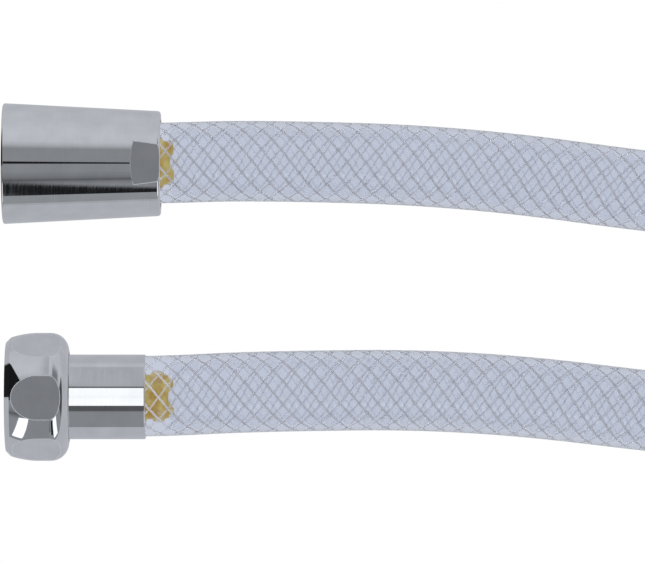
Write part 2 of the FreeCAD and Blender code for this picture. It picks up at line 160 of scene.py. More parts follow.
hank = {
    "waist": (0.2672, -0.009),
    "innerLane": 0.024,
    "outerLane": 0.0412,
    "waistHeight": 0.0098,
    "floorHeight": 0.008,
    "overHeight": 0.025,
    "foldRadius": 0.052,
    "foldShift": 0.0086,
    "farFold": 0.072,
    "nearFold": 0.080,
    "innerStraight": (0.0193, 0.0527),  # from the waist to a straight run's end and to its turn
    "farStraight": (0.0147, 0.048),
    "nearStraight": (0.0204, 0.0596),
    "pointsPerFold": 6,
    "outset": 1.035,  # points this much outside a fold give a line on it
    "crossingStart": 0.0108,
    "crossing": (0.0172, 0.0228, 0.0254, 0.0254, 0.0228, 0.0172),
}


def foldPoints(centreX, centreY, way, side, heights):
    # half a turn round one end of the hank, from one side to the other
    reach = hank["outset"] * hank["foldRadius"]
    step = 180 / hank["pointsPerFold"]
    points = []
    for number, height in enumerate(heights):
        angle = math.radians(90 - step / 2 - step * number)
        x = centreX + way * reach * math.cos(angle)
        points.append((x, centreY + side * reach * math.sin(angle), height))
    return points


def hankPoints():
    low, floor, over = hank["waistHeight"], hank["floorHeight"], hank["overHeight"]
    inner, outer, shift = hank["innerLane"], hank["outerLane"], hank["foldShift"]
    fold, far, near = hank["foldRadius"], hank["farFold"], hank["nearFold"]
    straight, turn = hank["innerStraight"]
    farStraight, farTurn = hank["farStraight"]
    nearStraight, nearTurn = hank["nearStraight"]
    flat = [floor] * hank["pointsPerFold"]
    raised = [over] * hank["pointsPerFold"]
    # away from the fittings, round the far fold and back
    points = [(-straight, inner, low), (straight, inner, low), (turn, fold - shift, floor)]
    points += foldPoints(far, -shift, 1, 1, flat)
    points += [(farTurn, -fold - shift, floor), (farStraight, -outer, low)]
    # round the near fold, over both runs
    points += [(-nearStraight, -outer, low), (-nearTurn, -fold, over)]
    points += foldPoints(-near, 0, -1, -1, raised)
    points += [(-nearTurn, fold, over), (-nearStraight, outer, low)]
    # round the far fold again, over the first pass
    points += [(farStraight, outer, low), (farTurn, fold + shift, hank["crossingStart"])]
    points += foldPoints(far, shift, 1, 1, hank["crossing"])
    points += [(turn, shift - fold, hank["crossingStart"]), (straight, -inner, low)]
    points += [(-straight, -inner, low)]
    waistX, waistY = hank["waist"]
    return [(waistX + x, waistY + y, z) for x, y, z in points]


def readHoseLine(pointsPerSpan):
    # points on the smooth line, and each one's distance along it
    route = hose["coneRun"] + hankPoints() + hose["hexRun"][::-1]
    curve = bpy.data.curves.new("hoseLine", "CURVE")
    curve.dimensions = "3D"
    spline = curve.splines.new("NURBS")
    spline.points.add(len(route) - 1)
    for point, place in zip(spline.points, route):
        point.co = (*place, 1)
    spline.order_u = hose["lineOrder"]
    spline.use_endpoint_u = True
    spline.resolution_u = pointsPerSpan
    line = bpy.data.objects.new("hoseLine", curve)
    read = bpy.data.meshes.new_from_object(line)
    places = np.array([vertex.co[:] for vertex in read.vertices])
    bpy.data.objects.remove(line)
    bpy.data.meshes.remove(read)
    steps = np.linalg.norm(np.diff(places, axis=0), axis=1)
    return places, np.concatenate([[0], np.cumsum(steps)])


def framesAlong(places):
    # which way is up and across at each point, with no twist from one to the next
    headings = np.gradient(places, axis=0)
    headings /= np.linalg.norm(headings, axis=1)[:, None]
    ups = np.zeros_like(headings)
    up = np.array([0.0, 0.0, 1.0])
    for number, heading in enumerate(headings):
        up = up - heading * up.dot(heading)
        up /= np.linalg.norm(up)
        ups[number] = up
    return ups, np.cross(headings, ups)


def joinRings(count, sides, closed):
    # the faces between neighbouring rings, and each corner's side and ring for its UV
    rings = np.arange(count if closed else count - 1)[:, None]
    turns = np.arange(sides)[None, :]
    nextRings, nextTurns = (rings + 1) % count, (turns + 1) % sides
    faces = [rings * sides + turns, rings * sides + nextTurns,
             nextRings * sides + nextTurns, nextRings * sides + turns]
    flat = np.zeros_like(rings * turns)
    around = [flat + turns, flat + turns + 1, flat + turns + 1, flat + turns]
    along = [flat + rings, flat + rings, flat + nextRings, flat + nextRings]
    return [np.stack(table, axis=-1).reshape(-1, 4) for table in (faces, around, along)]


def addMesh(name, vertices, faces, uvs):
    mesh = bpy.data.meshes.new(name)
    mesh.from_pydata(vertices.tolist(), [], faces)
    layer = mesh.uv_layers.new(name="UVMap")
    layer.data.foreach_set("uv", np.asarray(uvs, dtype=float).ravel())
    mesh.shade_smooth()
    piece = bpy.data.objects.new(name, mesh)
    bpy.context.collection.objects.link(piece)
    return piece


def makeHoseWall():
    # the clear wall as one closed tube: outwards along its outside, back along its bore
    places, distances = readHoseLine(hose["pointsPerSpan"])
    ups, acrosses = framesAlong(places)
    angles = np.arange(hose["sides"]) * 2 * math.pi / hose["sides"]
    outs = (np.cos(angles)[None, :, None] * ups[:, None]
            + np.sin(angles)[None, :, None] * acrosses[:, None])
    outside = places[:, None] + hose["radius"] * outs
    bore = places[:, None] + hose["bore"] * outs
    vertices = np.concatenate([outside, bore[::-1]]).reshape(-1, 3)
    pitches = np.concatenate([distances, distances[::-1]]) / yarn["pitch"]
    faces, around, along = joinRings(2 * len(places), hose["sides"], True)
    uvs = np.stack([around / hose["sides"], pitches[along]], axis=-1)
    return addMesh("hoseWall", vertices, faces.tolist(), uvs), places


def openBore(wall):
    # the bore's faces, but not those pressed against an insert; the outside's come first
    faces = list(wall.data.polygons)
    filledTo = insert["coneSeat"][0] + insert["length"]
    return [face for face in faces[len(faces) // 2:] if face.center.x > filledTo]


# Yarn: two sets of thin yarns, wound to opposite hands between the hose's two layers

yarn = {
    "count": 9,
    "pitch": 0.0337,
    "pointsPerSpan": 28,
    "sides": 6,
    "outer": {"radius": 0.00660, "width": 0.00045, "thickness": 0.00030},
    "inner": {"radius": 0.00626, "width": 0.00040, "thickness": 0.00026},
    "twistPitch": 0.004,
    "filaments": 3,
    "endUv": [0.5, 0.0],
}


def makeYarns(name, hand, layer):
    size = yarn[layer]
    places, distances = readHoseLine(yarn["pointsPerSpan"])
    ups, acrosses = framesAlong(places)
    places, distances = places[1:-1], distances[1:-1]
    ups, acrosses = ups[1:-1], acrosses[1:-1]
    count, sides = len(places), yarn["sides"]
    sideAngles = np.arange(sides) * 2 * math.pi / sides
    faces, around, along = joinRings(count, sides, False)
    vertices, allFaces, uvs = [], [], []
    for number in range(yarn["count"]):
        angles = 2 * math.pi * (hand * distances / yarn["pitch"] + number / yarn["count"])
        outs = np.cos(angles)[:, None] * ups + np.sin(angles)[:, None] * acrosses
        middles = places + size["radius"] * outs
        ways = np.gradient(middles, axis=0)
        ways /= np.linalg.norm(ways, axis=1)[:, None]
        sideways = np.cross(ways, outs)
        high = np.cos(sideAngles)[None, :, None] * outs[:, None] * size["thickness"] / 2
        wide = np.sin(sideAngles)[None, :, None] * sideways[:, None] * size["width"] / 2
        first = number * count * sides
        vertices.append((middles[:, None] + high + wide).reshape(-1, 3))
        allFaces += (faces + first).tolist()
        uvs += np.stack([around / sides, distances[along]], axis=-1).reshape(-1, 2).tolist()
        last = first + (count - 1) * sides
        allFaces += [[first + side for side in reversed(range(sides))],
                     [last + side for side in range(sides)]]
        uvs += [yarn["endUv"]] * (2 * sides)
    return addMesh(name, np.concatenate(vertices), allFaces, uvs)


# Turned parts, each from rings drawn out along X and closed on itself

turning = {
    "sides": 192,
    "tolerance": 1e-6,
    "rimTolerance": 1e-5,
    "rimSegments": 7,
    "sharp": math.radians(15),
    "faceWeight": 100,
}


def turnPiece(name, start, profile, rims):
    # the profile is a closed loop of (distance along X, radius). Each rim is one of its
    # corners with its rounding, and with a number of segments where it isn't the usual one.
    along, radius = profile[0]
    piece = newPiece(name, bpy.ops.mesh.primitive_circle_add, vertices=turning["sides"],
                     radius=radius, rotation=alongX,
                     location=(start[0] + along, start[1], start[2]))
    editAll()
    for nextAlong, nextRadius in profile[1:] + profile[:1]:
        bpy.ops.mesh.extrude_region_move(
            TRANSFORM_OT_translate={"value": (nextAlong - along, 0, 0)})
        scale = nextRadius / radius
        bpy.ops.transform.resize(value=(1, scale, scale))
        along, radius = nextAlong, nextRadius
    bpy.ops.mesh.select_all(action="SELECT")
    bpy.ops.mesh.remove_doubles(threshold=turning["tolerance"])
    faceOutwards()
    applyPlace()
    piece.data.name = name
    for rim in rims:
        roundRim(piece, start, *rim)
    return piece


def edgesWhere(mesh, wanted):
    # those with both ends in wanted places
    return [edge for edge in mesh.edges
            if all(wanted(mesh.vertices[corner].co) for corner in edge.vertices)]


def roundRim(piece, start, along, radius, rounding, segments=turning["rimSegments"]):
    def onRim(place):
        out = math.hypot(place.y - start[1], place.z - start[2])
        error = max(abs(place.x - start[0] - along), abs(out - radius))
        return error < turning["rimTolerance"]

    selectParts(piece, "EDGE", lambda mesh: edgesWhere(mesh, onRim))
    bpy.ops.mesh.bevel(offset=rounding, segments=segments, clamp_overlap=True)
    endEdit()


def smoothPiece(piece):
    # rounded rims shade softly, and the long faces beside them stay true
    pick(piece)
    bpy.ops.object.shade_smooth_by_angle(angle=turning["sharp"])
    weighted = piece.modifiers.new("weighted", "WEIGHTED_NORMAL")
    weighted.weight = turning["faceWeight"]
    weighted.keep_sharp = True
    bpy.ops.object.modifier_apply(modifier="weighted")
    return piece


# Pipe thread inside both nuts

thread = {
    "minorRadius": 0.0093155,
    "majorRadius": 0.01040,
    "pitch": 0.001814,
    "crestWidth": 0.00030,
    "ridgeFill": 0.98,  # how much of the pitch a ridge takes at its root
    "sunk": 0.0001,  # how far a ridge reaches into the wall
    "stepsPerTurn": 64,
    "chamfer": 0.0008,
    "runIn": 0.0005,
    "reliefRadius": 0.0104955,
    "reliefWidth": 0.0024,
    "collarRoom": 0.0029,
    "holeRadius": 0.0062,
    "shoulder": 0.0014,
}


def nutInside(seatDepth):
    # from the hole that the insert's neck turns in, out to the mouth
    shoulderAt = seatDepth + thread["collarRoom"]
    return [
        (shoulderAt + thread["shoulder"], thread["holeRadius"]),
        (shoulderAt, thread["holeRadius"]),
        (shoulderAt, thread["reliefRadius"]),
        (seatDepth - thread["reliefWidth"], thread["reliefRadius"]),
        (seatDepth - thread["reliefWidth"], thread["majorRadius"]),
        (thread["chamfer"] + thread["runIn"], thread["majorRadius"]),
        (thread["chamfer"], thread["minorRadius"]),
        (0, thread["minorRadius"] + thread["chamfer"]),
    ]


def makeThread(name, start, seatDepth):
    # one ridge, drawn round the bore and forward together, with both ends filled
    turns = (seatDepth - thread["reliefWidth"] - thread["chamfer"]) / thread["pitch"] - 1
    ridge = newPiece(name, bpy.ops.mesh.primitive_plane_add, rotation=(math.pi / 2, 0, 0),
                     size=thread["pitch"] * thread["ridgeFill"])
    applyPlace()
    root, crest = thread["majorRadius"] + thread["sunk"], thread["minorRadius"]
    narrow = thread["crestWidth"] / thread["pitch"]
    for vertex in ridge.data.vertices:
        atCrest = vertex.co.z < 0
        vertex.co.z = crest if atCrest else root
        vertex.co.x *= narrow if atCrest else 1
        vertex.co.x += thread["pitch"] / 2
    editAll()
    bpy.ops.mesh.delete(type="ONLY_FACE")
    endEdit()
    sweep = ridge.modifiers.new("sweep", "SCREW")
    sweep.axis = "X"
    sweep.angle = turns * 2 * math.pi
    sweep.screw_offset = turns * thread["pitch"]
    sweep.steps = sweep.render_steps = round(turns * thread["stepsPerTurn"])
    sweep.use_merge_vertices = False
    bpy.ops.object.modifier_apply(modifier="sweep")
    bpy.ops.transform.translate(value=(start[0] + thread["chamfer"], start[1], start[2]))
    applyPlace()
    editAll()
    bpy.ops.mesh.fill_holes(sides=4)
    faceOutwards()
    return ridge


# Milled faces: each gets a narrow rim, painted pale and dull as a painted highlight along the
# edge

milled = {
    "rim": 0.00014,
    "depthError": 5e-6,
    "merge": 1e-5,
    "rimFaceArea": 4e-7,
    "squareOn": 0.9999,
}


def aroundAxis(count):
    return [2 * math.pi * number / count for number in range(count)]


def milledFaces(mesh, size):
    # the faces in the planes that the nut's flats or facets lie in
    axisY, axisZ = size["mouth"][1:]
    found = []
    for face in mesh.polygons:
        for angle in aroundAxis(size["faces"]):
            y, z = math.sin(angle), math.cos(angle)
            depth = (face.center.y - axisY) * y + (face.center.z - axisZ) * z
            squareOn = face.normal.y * y + face.normal.z * z > milled["squareOn"]
            if squareOn and abs(depth - size["faceFromAxis"]) < milled["depthError"]:
                found.append(face)
    return found


def rimFaces(nut, size):
    return [face for face in milledFaces(nut.data, size) if face.area < milled["rimFaceArea"]]


def addRims(piece, size):
    pick(piece)
    editAll()
    bpy.ops.mesh.remove_doubles(threshold=milled["merge"])
    endEdit()
    selectParts(piece, "FACE", lambda mesh: milledFaces(mesh, size))
    bpy.ops.mesh.inset(thickness=milled["rim"], depth=0)
    bpy.ops.mesh.select_mode(type="EDGE")
    endEdit()


def insideFaces(nut, size):
    # between the nut's two ends, those that don't face away from its axis
    mouthX, axisY, axisZ = size["mouth"]
    found = []
    for face in nut.data.polygons:
        along = face.center.x - mouthX
        outward = (face.normal.y * (face.center.y - axisY)
                   + face.normal.z * (face.center.z - axisZ))
        if 0 < along < size["length"] and outward < turning["tolerance"]:
            found.append(face)
    return found


# Conical nut, with two flats for a spanner at its thin end

axes = {"cone": (0.0235, 0.0119955), "hex": (-0.0228, 0.0118955)}  # each fitting's Y and Z

conicalNut = {
    "mouth": (-0.0168, *axes["cone"]),
    "length": 0.0313,
    "mouthRadius": 0.0119955,
    "tailRadius": 0.0104,
    "cavityRadius": 0.0088,
    "seatDepth": 0.0094,
    "mouthRounding": 0.00045,
    "tailRounding": 0.0006,
    "tailSegments": 8,
    "faces": 2,
    "faceFromAxis": 0.00972,
    "flatsLength": 0.0059,
    "cutterRadius": 0.015,
    "cutterSides": 160,
}


def finishNut(nut, size, threadName):
    addRims(nut, size)
    smoothPiece(nut)
    return joinPieces(nut, makeThread(threadName, size["mouth"], size["seatDepth"]))


def makeConicalNut():
    size = conicalNut
    inside = nutInside(size["seatDepth"])
    mouth, tail = size["mouthRadius"], size["tailRadius"]
    length, cavity = size["length"], size["cavityRadius"]
    outside = [(0, mouth), (length, tail), (length, cavity), (inside[0][0], cavity)]
    rims = [(0, mouth, size["mouthRounding"]),
            (length, tail, size["tailRounding"], size["tailSegments"])]
    nut = turnPiece("conicalNut", size["mouth"], outside + inside, rims)
    cutFlats(nut, size)
    return finishNut(nut, size, "coneThread")


def cutFlats(nut, size):
    # a round cutter from above and one from below, so each flat starts in a curve
    mouthX, axisY, axisZ = size["mouth"]
    cutterX = mouthX + size["length"] - size["flatsLength"] + size["cutterRadius"]
    depth = size["cutterRadius"]
    for side in (-1, 1):
        cutter = newPiece("cutter", bpy.ops.mesh.primitive_cylinder_add,
                          vertices=size["cutterSides"], radius=size["cutterRadius"], depth=depth,
                          location=(cutterX, axisY,
                                    axisZ + side * (size["faceFromAxis"] + depth / 2)))
        cut = nut.modifiers.new("flat", "BOOLEAN")
        cut.operation = "DIFFERENCE"
        cut.solver = "EXACT"
        cut.object = cutter
        bpy.context.view_layer.objects.active = nut
        bpy.ops.object.modifier_apply(modifier="flat")
        bpy.data.objects.remove(cutter)


# Hex nut, turned to a barrel before its six facets are milled

hexNut = {
    "mouth": (-0.0162, *axes["hex"]),
    "length": 0.0125,
    "seatDepth": 0.0082,
    "mouthRadius": 0.0107955,
    "mouthBevel": 0.0010,
    "barrelRadius": 0.0126955,
    "barrelCorner": 0.00362,
    "barrelRounding": 0.00255,
    "barrelSegments": 16,
    "tailRounding": 0.0036,
    "tailSegments": 20,
    "faces": 6,
    "faceFromAxis": 0.0118955,
}


def makeHexNut():
    size = hexNut
    mouth, bevel, barrel = size["mouthRadius"], size["mouthBevel"], size["barrelRadius"]
    corner, length = size["barrelCorner"], size["length"]
    outside = [(0, mouth), (bevel, mouth + bevel), (corner, barrel), (length, barrel)]
    rims = [(corner, barrel, size["barrelRounding"], size["barrelSegments"]),
            (length, barrel, size["tailRounding"], size["tailSegments"])]
    nut = turnPiece("hexNut", size["mouth"], outside + nutInside(size["seatDepth"]), rims)
    axisY, axisZ = size["mouth"][1:]
    startEdit()
    for angle in aroundAxis(size["faces"]):
        out = (0, math.sin(angle), math.cos(angle))
        place = (0, axisY + size["faceFromAxis"] * out[1],
                 axisZ + size["faceFromAxis"] * out[2])
        bpy.ops.mesh.select_all(action="SELECT")
        bpy.ops.mesh.bisect(plane_co=place, plane_no=out, use_fill=True, clear_outer=True,
                            threshold=turning["tolerance"])
    endEdit()
    return finishNut(nut, size, "hexThread")


# Brass inserts: a collar for the washer, a neck that the nut turns on, and a barbed tail

insert = {
    "coneSeat": (-0.0074, *axes["cone"]),
    "hexSeat": (-0.0080, *axes["hex"]),
    "length": 0.0242,
    "boreRadius": 0.00325,
    "collarRadius": 0.0091455,
    "collarThickness": 0.0018,
    "neckRadius": 0.0059,
    "rootRadius": 0.00475,
    "tailAt": 0.0057,
    "barbOffset": 0.0012,
    "barbPitch": 0.0033,
    "barbRamp": 0.0029,
    "barbHeight": 0.0007,
    "barbs": 4,
    "tipTaper": 0.0022,
    "tipWall": 0.00065,
    "collarRim": 0.0002,
}


def makeInsert(name):
    size = insert
    bore, root, neck = size["boreRadius"], size["rootRadius"], size["neckRadius"]
    collar, thickness = size["collarRadius"], size["collarThickness"]
    tail, length = size["tailAt"], size["length"]
    profile = [(0, bore), (0, collar), (thickness, collar), (thickness, neck), (tail, neck),
               (tail, root)]
    for number in range(size["barbs"]):
        step = tail + size["barbOffset"] + size["barbPitch"] * number
        profile += [(step, root), (step, root + size["barbHeight"]),
                    (step + size["barbRamp"], root)]
    profile += [(length - size["tipTaper"], root), (length, bore + size["tipWall"]),
                (length, bore)]
    rims = [(along, collar, size["collarRim"]) for along in (0, thickness)]
    return smoothPiece(turnPiece(name, size["coneSeat"], profile, rims))


# Crimped sleeves round the hose's ends: one in sight behind the hex nut, one in the cone

ferrule = {
    "hexFront": (-0.0036, *axes["hex"]),
    "length": 0.0151,
    "radius": 0.0084,
    "insideRadius": 0.0078,
    "frontWall": 0.0007,
    "frontRounding": 0.00012,
    "endRounding": 0.00022,
}


def makeFerrule(name):
    size = ferrule
    length, front = size["length"], size["frontWall"]
    outside, inside, neck = size["radius"], size["insideRadius"], insert["neckRadius"]
    profile = [(0, neck), (0, outside), (length, outside), (length, inside), (front, inside),
               (front, neck)]
    rims = [(0, outside, size["frontRounding"]), (length, outside, size["endRounding"])]
    return smoothPiece(turnPiece(name, size["hexFront"], profile, rims))


# Rubber washers in the nuts' mouths

washer = {
    "thickness": 0.0020,
    "radius": 0.0095955,
    "holeRadius": 0.0056,
    "rounding": 0.0003,
}


def makeWasher(name):
    size = washer
    seatX, axisY, axisZ = insert["coneSeat"]
    thickness, outside, hole = size["thickness"], size["radius"], size["holeRadius"]
    profile = [(0, hole), (0, outside), (thickness, outside), (thickness, hole)]
    rims = [(along, radius, size["rounding"])
            for along in (0, thickness) for radius in (outside, hole)]
    return smoothPiece(turnPiece(name, (seatX - thickness, axisY, axisZ), profile, rims))


# Woven strap round the hank, with its end lapped over on top and sewn down

strap = {
    "width": 0.018,
    "thickness": 0.0013,
    "halfReach": 0.0419,
    "bendRadius": 0.0098,
    "bendSides": 64,
    "lap": 0.026,
    "lapRamp": 0.003,
    "edgeRounding": 0.00035,
    "edgeSegments": 3,
    "edgeAngle": math.radians(50),
    "weave": (0.0011, 0.0014),  # from one rib to the next, across and along
    "stitchLength": 0.0019,
    "stitchRadius": 0.00022,
    "stitchSides": 8,
    "stitchRounding": 0.6,  # of its radius
    "stitchSegments": 2,
    "stitchGap": 0.0009,
    "stitchMargin": 0.0016,
    "stitchRows": (-0.0085, 0.0070),
}


def makeBand():
    # a hoop drawn out along X, then parted to the hank's width
    size = strap
    middle = size["bendRadius"] - size["thickness"] / 2
    waistX, waistY = hank["waist"]
    band = newPiece("hoseStrap", bpy.ops.mesh.primitive_circle_add, vertices=size["bendSides"],
                    radius=middle, rotation=alongX,
                    location=(waistX - size["width"] / 2, waistY, size["bendRadius"]))
    editAll()
    bpy.ops.mesh.extrude_region_move(TRANSFORM_OT_translate={"value": (size["width"], 0, 0)})
    endEdit()
    applyPlace()
    for vertex in band.data.vertices:
        fromMiddle = vertex.co.y - waistY
        if abs(fromMiddle) > turning["tolerance"]:
            vertex.co.y += math.copysign(size["halfReach"], fromMiddle)
    return band


def makeLap():
    # the strap's loose end: flat on the band, with a short ramp where it leaves it
    size = strap
    waistX, waistY = hank["waist"]
    onBand = 2 * size["bendRadius"] - size["thickness"] / 2
    lap = newPiece("strapLap", bpy.ops.mesh.primitive_plane_add, size=1,
                   location=(waistX, waistY, onBand + size["thickness"]))
    lap.scale = (size["width"], size["lap"], 1)
    applyPlace()
    root = waistY - size["lap"] / 2
    selectParts(lap, "EDGE", lambda mesh: edgesWhere(
        mesh, lambda place: abs(place.y - root) < turning["tolerance"]))
    bpy.ops.mesh.extrude_region_move(
        TRANSFORM_OT_translate={"value": (0, -size["lapRamp"], -size["thickness"])})
    endEdit()
    return lap


def thicken(piece):
    pick(piece)
    wall = piece.modifiers.new("wall", "SOLIDIFY")
    wall.thickness = strap["thickness"]
    wall.offset = 0
    wall.use_even_offset = True
    rim = piece.modifiers.new("rim", "BEVEL")
    rim.width = strap["edgeRounding"]
    rim.segments = strap["edgeSegments"]
    rim.limit_method = "ANGLE"
    rim.angle_limit = strap["edgeAngle"]
    for modifier in ("wall", "rim"):
        bpy.ops.object.modifier_apply(modifier=modifier)
    editAll()
    faceOutwards()


def layAlong(piece):
    # UV: across the strap, and along it on its way round the hank
    size = strap
    waistX, waistY = hank["waist"]
    mesh = piece.data
    layer = mesh.uv_layers["UVMap"]
    for loop in mesh.loops:
        place = mesh.vertices[loop.vertex_index].co
        pastBend = abs(place.y - waistY) - size["halfReach"]
        along = place.y
        if pastBend > 0:
            turned = math.atan2(pastBend, place.z - size["bendRadius"])
            along = math.copysign(size["halfReach"] + turned * size["bendRadius"],
                                  place.y - waistY)
        layer.data[loop.index].uv = (place.x, along)


def makeStrap():
    band = makeBand()
    lap = makeLap()
    for part in (band, lap):
        thicken(part)
        smoothPiece(part)
    strapPiece = joinPieces(band, lap)
    layAlong(strapPiece)
    return strapPiece


def makeStitches():
    # two rows of small bars with rounded edges
    size = strap
    waistX, waistY = hank["waist"]
    top = 2 * size["bendRadius"] + size["thickness"]
    length, radius, gap = size["stitchLength"], size["stitchRadius"], size["stitchGap"]
    step = length + gap
    count = int((size["width"] - 2 * size["stitchMargin"] + gap) / step)
    firstX = waistX - (count * step - gap) / 2 + length / 2
    bars = []
    for row in size["stitchRows"]:
        for number in range(count):
            bars.append(newPiece(
                "strapStitches", bpy.ops.mesh.primitive_cylinder_add, radius=radius,
                depth=length, vertices=size["stitchSides"], rotation=alongX,
                location=(firstX + number * step, waistY + row, top)))
            applyPlace()
            editAll()
            bpy.ops.mesh.bevel(offset=radius * size["stitchRounding"],
                               segments=size["stitchSegments"])
            endEdit()
    stitches = joinPieces(*bars)
    stitches.data.name = stitches.name
    bpy.ops.object.shade_smooth()
    return stitches


# Materials, from patterns on object places or on a piece's own UV map.
# Marks are (rings, waves) and grain is (specks, clouds), as counts per metre. Colours run from
# dark to pale, roughness runs across the range of its mask, and relief is in metres.

finishes = {
    "chromePlating": {
        "plain": {"Metallic": 1.0}, "marks": (3300, 700), "grain": (9000, 260), "lines": 0.25,
        "colourMask": (0.4, 0.85), "colours": ((0.76, 0.775, 0.79), (0.85, 0.86, 0.875)),
        "roughMask": (0.35, 0.75), "rough": (0.02, 0.06), "relief": 0.0000004},
    # painted highlight: the narrow rims round the milled faces are pale and dull, so they show as
    # a bright line
    "chromeRimHighlight": {
        "plain": {"Metallic": 0.35}, "grain": (9000, 900),
        "colours": ((0.44, 0.45, 0.47), (0.54, 0.55, 0.57)), "rough": (0.42, 0.6)},
    # painted shade: the nuts' bores and threads are dark for the shade inside them
    "nutInside": {
        "plain": {"Metallic": 1.0}, "grain": (5000, 500),
        "colours": ((0.20, 0.19, 0.17), (0.34, 0.33, 0.31)), "rough": (0.28, 0.42)},
    "insertBrass": {
        "plain": {"Metallic": 1.0}, "marks": (3600, 500), "grain": (4000, 420), "lines": 0.0,
        "colourMask": (0.35, 0.65), "colours": ((0.66, 0.37, 0.05), (0.90, 0.72, 0.22)),
        "roughMask": (0.3, 0.8), "rough": (0.28, 0.42), "relief": 0.00001},
    "washerRubber": {
        "grain": (6000, 500), "relief": 0.00003,
        "colours": ((0.018, 0.018, 0.019), (0.045, 0.045, 0.048)), "rough": (0.55, 0.8)},
    "hoseCover": {
        "plain": {"IOR": 1.5, "Transmission Weight": 1.0}, "grain": (3000, 90),
        "colours": ((0.93, 0.95, 0.985), (0.965, 0.975, 0.99)), "rough": (0.02, 0.05),
        "relief": 0.00007},
    "hoseBore": {  # dull, so the far side only shows softly through it
        "plain": {"IOR": 1.2, "Transmission Weight": 1.0}, "grain": (3000, 200),
        "colours": ((0.95, 0.96, 0.985), (0.98, 0.985, 0.99)), "rough": (0.22, 0.3)},
    # painted shade: both sets are the same fibre, and the outer set's darker colours are painted
    # shade
    "outerYarn": {
        "plain": {"IOR": 1.06, "Transmission Weight": 0.62},
        "colours": ((0.653, 0.653, 0.682), (0.71, 0.71, 0.738)),
        "roughMask": (-1, 1), "rough": (0.45, 0.6), "relief": 0.00002},
    "innerYarn": {
        "plain": {"IOR": 1.06, "Transmission Weight": 0.80},
        "colours": ((0.754, 0.754, 0.787), (0.82, 0.82, 0.853)),
        "roughMask": (-1, 1), "rough": (0.45, 0.6), "relief": 0.00002},
    "strapFabric": {
        "grain": (9000, 300), "relief": 0.00018,
        "colours": ((0.30, 0.31, 0.34), (0.52, 0.53, 0.56)), "rough": (0.7, 0.95),
        "fuzz": 0.4, "fuzzColour": (0.42, 0.43, 0.46)},
    "strapThread": {
        "grain": (12000, 900), "relief": 0.00004,
        "colours": ((0.55, 0.56, 0.58), (0.70, 0.70, 0.72)), "rough": (0.45, 0.7)},
}


def newMaterial(name):
    finish = finishes[name]
    material = bpy.data.materials.new(name)
    material.use_nodes = True
    tree = material.node_tree
    shader = tree.nodes["Principled BSDF"]
    for socket, value in finish.get("plain", {}).items():
        shader.inputs[socket].default_value = value
    return material, tree, shader, finish


def fill(tree, socket, value):
    # a socket takes a number, a colour or another node's output
    if isinstance(value, bpy.types.NodeSocket):
        tree.links.new(value, socket)
    elif isinstance(value, tuple):
        socket.default_value = (*value, 1)
    else:
        socket.default_value = value


def calculate(tree, operation, *values):
    node = tree.nodes.new("ShaderNodeMath")
    node.operation = operation
    for socket, value in zip(node.inputs, values):
        fill(tree, socket, value)
    return node.outputs[0]


def multiply(tree, value, *factors):
    for factor in factors:
        value = calculate(tree, "MULTIPLY", value, factor)
    return value


def mixColours(tree, share, first, second):
    # a Mix node has its two colours in sockets 6 and 7, and their mix in output 2
    node = tree.nodes.new("ShaderNodeMix")
    node.data_type = "RGBA"
    for socket, value in zip((0, 6, 7), (share, first, second)):
        fill(tree, node.inputs[socket], value)
    return node.outputs[2]


def mapRange(tree, value, low, high, toLow=0.0, toHigh=1.0, kind="LINEAR"):
    node = tree.nodes.new("ShaderNodeMapRange")
    node.interpolation_type = kind
    for socket, each in zip(node.inputs, (value, low, high, toLow, toHigh)):
        fill(tree, socket, each)
    return node.outputs[0]


def splitAxes(tree, place):
    node = tree.nodes.new("ShaderNodeSeparateXYZ")
    tree.links.new(place, node.inputs[0])
    return node.outputs


def objectPlace(tree):
    return tree.nodes.new("ShaderNodeTexCoord").outputs["Object"]


def uvPlace(tree):
    node = tree.nodes.new("ShaderNodeUVMap")
    node.uv_map = "UVMap"
    return node.outputs["UV"]


def newGroup(name, inputs, outputs):
    group = bpy.data.node_groups.new(name, "ShaderNodeTree")
    for each in inputs:
        kind = "NodeSocketVector" if each == "Place" else "NodeSocketFloat"
        group.interface.new_socket(name=each, in_out="INPUT", socket_type=kind)
    for each in outputs:
        group.interface.new_socket(name=each, in_out="OUTPUT", socket_type="NodeSocketFloat")
    given = group.nodes.new("NodeGroupInput").outputs
    return group, given, group.nodes.new("NodeGroupOutput").inputs


patterns = {
    "ringsAcross": 0.04,  # how fast the marks change across the axis, against along it
    "wavesAcross": 0.5,
    "marksDetail": 2,
    "grainDetail": 3,
    "grainRange": (0.3, 0.7),
}


def turningMarksGroup():
    # fine rings round X left by a lathe and a polishing wheel, and slow waves between them
    group, given, result = newGroup("turningMarks", ("Place", "Rings", "Waves"),
                                    ("Height", "Smear"))
    place = splitAxes(group, given["Place"])
    heights = []
    for name, across in (("Rings", patterns["ringsAcross"]), ("Waves", patterns["wavesAcross"])):
        stretched = group.nodes.new("ShaderNodeCombineXYZ")
        for axis, share in (("X", 1), ("Y", across), ("Z", across)):
            fill(group, stretched.inputs[axis], multiply(group, place[axis], given[name], share))
        noise = group.nodes.new("ShaderNodeTexNoise")
        noise.inputs["Scale"].default_value = 1
        noise.inputs["Detail"].default_value = patterns["marksDetail"]
        fill(group, noise.inputs["Vector"], stretched.outputs[0])
        heights.append(noise.outputs[0])
    fill(group, result["Height"], calculate(group, "ADD", *heights))
    fill(group, result["Smear"], heights[0])
    return group


